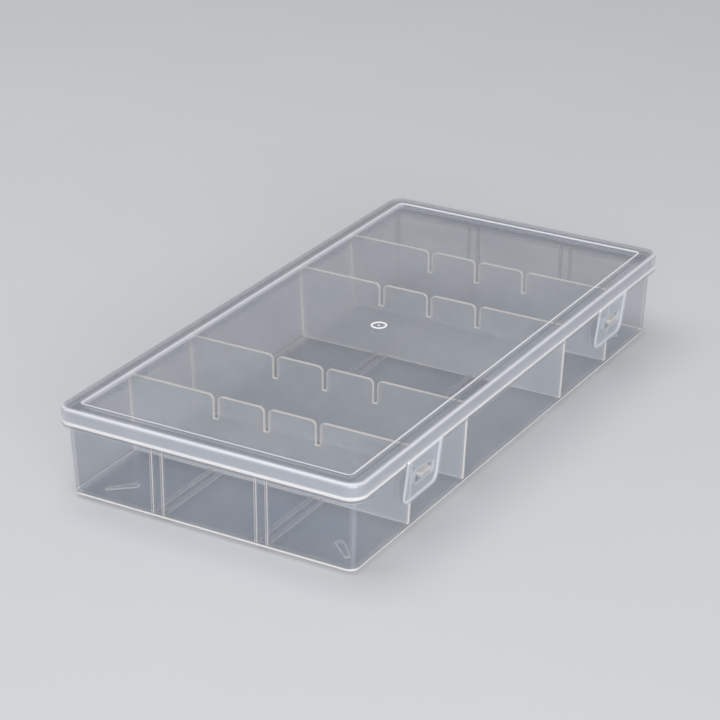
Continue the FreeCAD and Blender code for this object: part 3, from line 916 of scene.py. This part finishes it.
@dataclass
class Lid:
    """Lid: skirt with latch recesses, rounded border, sunk panel and the ring that the moulding gate left."""

    plastic: bpy.types.Material
    latch_x: float
    recess_half: float = 11.9
    corner: float = 6.0
    edge_radius: float = 1.6
    thickness: float = 1.2
    panel_inset: float = 6.8
    panel_recess: float = 1.1
    panel_corner: float = 1.2
    least_radius: float = 0.3
    panel_edge: float = 0.4
    rounding: float = 0.25
    # Moves in and up, at a latch, of the skirt's three lowest stations, to clear the latch's round upper edge.
    latch_cuts: tuple[tuple[float, float], ...] = ((0.12, 0.0), (0.125, 0.225), (0.0, 0.18))
    # Painted highlight along the border's round and the panel's step, with a gain on the rear side, where the step
    # faces the front.
    border_angles: tuple[float, ...] = (0.0, 20.0, 40.0, 55.0, 68.0, 80.0, 90.0)
    border_highlight: tuple[float, ...] = (0.45, 0.48, 0.74, 0.78, 0.55, 0.4, 0.3)
    step_angles: tuple[float, ...] = (90.0, 60.0, 30.0, 0.0)
    step_highlight: tuple[float, ...] = (0.9, 0.85, 0.5, 0.3)
    step_rear_highlight_gain: tuple[float, ...] = (-0.15, -0.1, 0.4, 1.2)
    gate_radius: float = 3.0
    gate_width: float = 0.8
    gate_height: float = 0.2
    gate_rounding: float = 0.08
    gate_nib: float = 0.55
    nib_side: float = 0.05
    nib_height: float = 0.13
    nib_rounding: float = 0.15
    corner_steps: int = 12
    half_x: float = field(init=False)
    half_y: float = field(init=False)
    bottom: float = field(init=False)
    top: float = field(init=False)

    def __post_init__(self) -> None:
        """Reads the lid's size from its CAD node."""
        low, high = node_box("lid_shell")
        self.half_x, self.half_y = high[0], high[1]
        self.bottom, self.top = low[2], high[2]

    def rim_ring(self, inwards: float, level: float, edge: float, notch: tuple[float, float] = (0.0, 0.0)) -> Ring:
        """Makes a station that runs along the lid's outline."""
        halves = (self.half_x - inwards, self.half_y - inwards)
        return Ring(*halves, self.corner - inwards, level, edge, notch=notch)

    def panel_ring(self, outwards: float, level: float, edge: float, rear_highlight_gain: float = 0.0) -> Ring:
        """Makes a station that runs along the sunk panel's outline, with more painted highlight where the step faces
        the front.
        """
        reach = outwards - self.panel_inset
        radius = max(self.panel_corner + outwards, self.least_radius)
        halves = (self.half_x + reach, self.half_y + reach)
        return Ring(*halves, radius, level, edge, upper_highlight_gain=rear_highlight_gain)

    def underside(self) -> list[Ring]:
        """Stations under the panel, under the border and down inside the skirt.

        Those of the panel give distance out, level and painted highlight, those of the rim distance in, level and
        painted highlight.

        Returns:
            The stations.
        """
        border, panel = self.top - self.thickness, self.top - self.panel_recess - self.thickness
        drop, thick = self.thickness, self.thickness
        return [
            self.panel_ring(-4.0, panel, 0.0),
            self.panel_ring(drop - 0.6, panel, 0.05),
            self.panel_ring(drop - 0.2, panel, 0.45),
            self.panel_ring(drop, panel + 0.2, 0.45),
            self.panel_ring(drop, border, 0.2),
            self.panel_ring(drop + 0.6, border, 0.0),
            self.rim_ring(thick + 1.0, border, 0.05),
            self.rim_ring(thick + 0.5, border, 0.5),
            self.rim_ring(thick, border - 0.5, 0.5),
            self.rim_ring(thick, border - 1.0, 0.2),
            self.rim_ring(thick, self.bottom + 0.7, 0.2),
            self.rim_ring(thick, self.bottom + 0.15, 0.7),
            self.rim_ring(thick - 0.15, self.bottom, 0.9),
        ]

    def outside(self) -> list[Ring]:
        """Stations up the skirt, cut back by the latches' round upper edges, and over the border's rounded edge."""
        small, radius = self.rounding, self.edge_radius
        lift = ROUND_SHARE * small
        under, middle, outer = self.latch_cuts
        rings = [
            self.rim_ring(small, self.bottom, 1.0, under),
            self.rim_ring(lift, self.bottom + lift, 1.0, middle),
            self.rim_ring(0.0, self.bottom + small, 1.0, outer),
            self.rim_ring(0.0, self.bottom + 0.5, 0.75),
            self.rim_ring(0.0, self.bottom + 0.95, 0.45),
        ]
        for angle, edge in zip(np.radians(self.border_angles), self.border_highlight):
            inwards = radius * (1.0 - math.cos(angle))
            rings.append(self.rim_ring(inwards, self.top - radius * (1.0 - math.sin(angle)), edge))
        return rings

    def upper_side(self) -> list[Ring]:
        """Stations in over the border, down the step and onto the sunk panel."""
        radius, floor = self.panel_edge, self.top - self.panel_recess
        rings = [
            self.rim_ring(self.edge_radius + 0.35, self.top, 0.0),
            self.rim_ring(self.edge_radius + 1.5, self.top, 0.0),
            self.panel_ring(radius + 0.9, self.top, 0.12, 1.0),
            self.panel_ring(radius + 0.5, self.top, 0.85, -0.15),
        ]
        angles = np.radians(self.step_angles)
        for angle, edge, gain in zip(angles, self.step_highlight, self.step_rear_highlight_gain):
            level = self.top - radius * (1.0 - math.sin(angle))
            rings.append(self.panel_ring(radius * (1.0 - math.cos(angle)), level, edge, gain))
        rings.append(self.panel_ring(0.0, floor + 0.2, 0.25, 1.2))
        rings.append(self.panel_ring(-0.2, floor, 0.2, 1.2))
        rings.append(self.panel_ring(-1.8, floor, 0.06, 1.0))
        rings.append(self.panel_ring(-6.0, floor, 0.0))
        return rings

    def gate(self) -> Surface:
        """Makes the gate's ring, a rounded band turned about the middle, and the nib inside it, both painted pale all
        over as a highlight.
        """
        floor = self.top - self.panel_recess
        outer, inner = self.gate_radius, self.gate_radius - self.gate_width
        top, soft = floor + self.gate_height, self.gate_rounding
        band = [
            (inner, floor - SINK), (outer, floor - SINK), (outer, top - soft),
            (outer - soft, top), (inner + soft, top), (inner, top - soft),
        ]
        ring = loft([circle_ring(radius, level, 1.0) for radius, level in band], round_path(48), closed=True)
        nib = [
            (self.gate_nib, floor - SINK), (self.gate_nib, floor + self.nib_side),
            (self.gate_nib - self.nib_rounding, floor + self.nib_height),
        ]
        return ring.joined(loft([circle_ring(radius, level, 0.9) for radius, level in nib], round_path(24)))

    def build(self) -> None:
        """Lofts the lid, adds the gate's mark and dresses it."""
        notches = latch_notches(self.latch_x, self.recess_half, self.half_x - self.corner)
        path = rounded_path(self.corner_steps, notches)
        surface = loft(self.underside() + self.outside() + self.upper_side(), path).joined(self.gate())
        add_moulding("lid_shell", surface, self.plastic, Body.LID)


@dataclass
class Latches:
    """Two latch flaps with windows, hung from the lid's front edge, and the catches on the tray that they hold."""

    wall: TrayWall
    flap_plastic: bpy.types.Material
    catch_plastic: bpy.types.Material
    width: float = 23.0
    length: float = 16.3
    thickness: float = 1.3
    lower_corner: float = 3.8
    least_radius: float = 0.01
    lean: float = 7.0
    window: tuple[float, float] = (12.0, 4.4)
    window_corner: float = 1.0
    window_drop: float = 7.6
    catch_slope: float = 0.3
    # Painted highlight on the catch: strongest along its upper edge and over its faces.
    catch_edge: PlateEdge = PlateEdge(bevel=0.15, fade=0.6, side=0.85, face=0.8)
    catch_highlight: tuple[float, ...] = (0.9, 0.5, 0.4, 1.0)
    # Painted highlight round the flap's rounded outline, from its back face to its front, with a gain along its upper
    # edge and a faint one round the window.
    round_highlight: tuple[float, ...] = (0.6, 0.95, 0.9, 0.55, 0.25, 0.1, 0.0)
    roll_highlight_gain: float = 1.5
    face_start: float = 1.5
    window_bevel: float = 0.2
    window_fade: float = 0.8
    corner_steps: int = 10

    def outer_ring(self, inwards: float, level: float, edge: float) -> Ring:
        """Makes a station along the flap's outline, whose upper corners are small and lower ones large."""
        round_edge = self.thickness / 2
        half_x, half_y = self.width / 2, (self.length + round_edge) / 2
        lower = self.lower_corner - inwards
        upper = max(round_edge + self.least_radius - inwards, self.least_radius)
        middle = (round_edge - self.length) / 2
        halves = (half_x - inwards, half_y - inwards)
        return Ring(*halves, lower, level, edge, shift_y=middle, upper_radius=upper, upper_highlight_gain=self.roll_highlight_gain)

    def window_ring(self, outwards: float, level: float, edge: float) -> Ring:
        """Makes a station along the window."""
        halves = (self.window[0] / 2 + outwards, self.window[1] / 2 + outwards)
        return Ring(*halves, self.window_corner + outwards, level, edge, shift_y=-self.window_drop)

    def flap(self) -> Surface:
        """Lofts a flap about the origin: both faces, a full round along the outline and the window's wall."""
        half, bevel = self.thickness / 2, self.window_bevel
        rings = [
            self.window_ring(bevel, -half, 0.3),
            self.window_ring(self.window_fade, -half, 0.0),
            self.outer_ring(self.face_start, -half, 0.0),
        ]
        angles = np.linspace(-math.pi / 2, math.pi / 2, len(self.round_highlight))
        for angle, edge in zip(angles, self.round_highlight):
            rings.append(self.outer_ring(half * (1.0 - math.cos(angle)), half * math.sin(angle), edge))
        rings += [
            self.outer_ring(self.face_start, half, 0.0),
            self.window_ring(self.window_fade, half, 0.0),
            self.window_ring(bevel, half, 0.3),
            self.window_ring(0.0, half - bevel, 0.4),
            self.window_ring(0.0, bevel - half, 0.4),
        ]
        return loft(rings, rounded_path(self.corner_steps), closed=True)

    def catch(self, node: str) -> Surface:
        """Makes a catch: a lug with sloped edges, drawn in section and carried along X, with its painted highlight
        strongest above.
        """
        low, high = node_box(node)
        tip = low[1]
        section = np.array([
            (tip, high[2] - self.catch_slope),
            (tip, low[2] + self.catch_slope),
            (-self.wall.outside_y(low[2]) + SINK, low[2]),
            (-self.wall.outside_y(high[2]) + SINK, high[2]),
        ])
        bar = plate(section, high[0] - low[0], self.catch_edge, np.array(self.catch_highlight))
        return bar.laid(Lay.ACROSS_X, (low[0], 0, 0))

    def build(self) -> None:
        """Makes both latches and catches and dresses them."""
        bodies = {Side.LEFT: Body.LATCH_LEFT, Side.RIGHT: Body.LATCH_RIGHT}
        for side in Side:
            name = side.name.lower()
            axis = joint_place(f"latch_{name}_hinge")
            low, high = node_box(f"latch_flap_{name}")
            place = ((low[0] + high[0]) / 2, axis[1], axis[2])
            surface = self.flap().laid(Lay.ACROSS_Y, place).leaned(math.radians(self.lean), place)
            add_moulding(f"latch_flap_{name}", surface, self.flap_plastic, bodies[side])
            catch = f"latch_catch_{name}"
            add_moulding(catch, self.catch(catch), self.catch_plastic, Body.BASE)


@dataclass
class Hinges:
    """Ears, pins and barrels at the back, whose CAD shapes are kept."""

    plastic: bpy.types.Material
    ears: int = 2

    def build(self) -> None:
        """Dresses the hinges' CAD nodes."""
        for side in Side:
            name = side.name.lower()
            for number in range(1, self.ears + 1):
                keep_node(f"hinge_ear_{name}_{number}", self.plastic)
            keep_node(f"hinge_pin_{name}", self.plastic)
            keep_node(f"hinge_barrel_{name}", self.plastic)


@dataclass(frozen=True)
class Lamp:
    """Soft rectangular studio lamp, aimed at the box. Places and sizes in metres, power in watts."""

    name: str
    place: tuple[float, float, float]
    size: tuple[float, float]
    power: float
    colour: str = "#ffffff"

    def add(self, target: Vector) -> None:
        """Adds the lamp to the scene, facing a point."""
        light = bpy.data.lights.new(self.name, "AREA")
        light.shape = "RECTANGLE"
        light.size, light.size_y = self.size
        light.energy = self.power
        light.color = linear(self.colour)[:3]
        lamp = bpy.data.objects.new(self.name, light)
        lamp.location = self.place
        lamp.rotation_euler = (target - lamp.location).to_track_quat("-Z", "Y").to_euler()
        bpy.context.scene.collection.objects.link(lamp)


@dataclass
class Studio:
    """Pale table, soft lamps, even surroundings and the camera, with its place in mm and its angles in degrees."""

    table: MattLaminate = MattLaminate()
    table_size: float = 6.0
    table_drop: float = 0.0004
    surroundings: str = "#ffffff"
    surroundings_strength: float = 0.4
    eye: tuple[float, float, float] = (-713.27, -406.16, 390.67)
    azimuth: float = -59.87
    elevation: float = 24.36
    roll: float = 0.16
    lens: float = 125.33
    sensor: float = 36.0
    nearest: float = 0.01
    lamps: tuple[Lamp, ...] = (
        Lamp("overhead_softbox", (-0.1, 0.3, 1.25), (1.1, 1.1), 8.0),
        Lamp("front_softbox", (-1.05, -0.85, 0.35), (1.2, 0.6), 14.0),
    )

    def add_table(self) -> None:
        """Adds the table under the feet."""
        half = self.table_size / 2
        corners = np.array([(-half, -half, 0), (half, -half, 0), (half, half, 0), (-half, half, 0)]) / MM
        corners[:, 2] = -self.table_drop / MM
        surface = Surface(corners, [[0, 1, 2, 3]], np.zeros(4))
        build_mesh("studio_table", surface, self.table.material())

    def add_surroundings(self) -> None:
        """Lights the scene evenly from all round."""
        world = bpy.data.worlds.new("studio_surroundings")
        world.use_nodes = True
        background = world.node_tree.nodes["Background"]
        background.inputs["Color"].default_value = linear(self.surroundings)
        background.inputs["Strength"].default_value = self.surroundings_strength
        bpy.context.scene.world = world

    def add_camera(self) -> None:
        """Adds the camera, whose axes come from its azimuth, elevation and roll."""
        azimuth, elevation, roll = (math.radians(angle) for angle in (self.azimuth, self.elevation, self.roll))
        level = math.cos(elevation)
        back = Vector((math.sin(azimuth) * level, -math.cos(azimuth) * level, math.sin(elevation)))
        right = Vector((math.cos(azimuth), math.sin(azimuth), 0.0))
        up = back.cross(right)
        tilted = right * math.cos(roll) + up * math.sin(roll)
        turn = Matrix((tilted, back.cross(tilted), back)).transposed()
        view = bpy.data.cameras.new("photo_view")
        view.sensor_fit = "HORIZONTAL"
        view.sensor_width = self.sensor
        view.lens = self.lens
        view.clip_start = self.nearest
        camera = bpy.data.objects.new("photo_view", view)
        camera.matrix_world = Matrix.Translation(Vector(self.eye) * MM) @ turn.to_4x4()
        bpy.context.scene.collection.objects.link(camera)
        bpy.context.scene.camera = camera

    def build(self) -> None:
        """Sets up the studio."""
        self.add_table()
        self.add_surroundings()
        low, high = (Vector(corner) for corner in CAD_BOX)
        for lamp in self.lamps:
            lamp.add((low + high) / 2)
        self.add_camera()
        scene = bpy.context.scene
        scene.view_settings.view_transform = "Standard"
        scene.cycles.transparent_max_bounces = FACES_SEEN_THROUGH
        LOG.info("studio with %d lamps", len(self.lamps))


def main() -> None:
    """Builds the box piece by piece, then the studio round it."""
    tray_plastic = TRAY_PLASTIC.material()
    low, high = node_box("base_tray")
    wall = TrayWall(high[0], high[1], low[2], high[2])
    flap_low, flap_high = node_box("latch_flap_right")
    latch_x = (flap_low[0] + flap_high[0]) / 2
    Tray(wall, tray_plastic, latch_x).build()
    CrossWalls(wall, PARTITION_PLASTIC.material()).build()
    DividerRails(wall, RAIL_PLASTIC.material()).build()
    Feet(FOOT_PLASTIC.material()).build()
    Lid(LID_PLASTIC.material(), latch_x).build()
    Latches(wall, LATCH_PLASTIC.material(), tray_plastic).build()
    Hinges(HINGE_PLASTIC.material()).build()
    Studio().build()


if __name__ == "__main__":
    logging.basicConfig(level=logging.INFO, format="%(message)s")
    main()
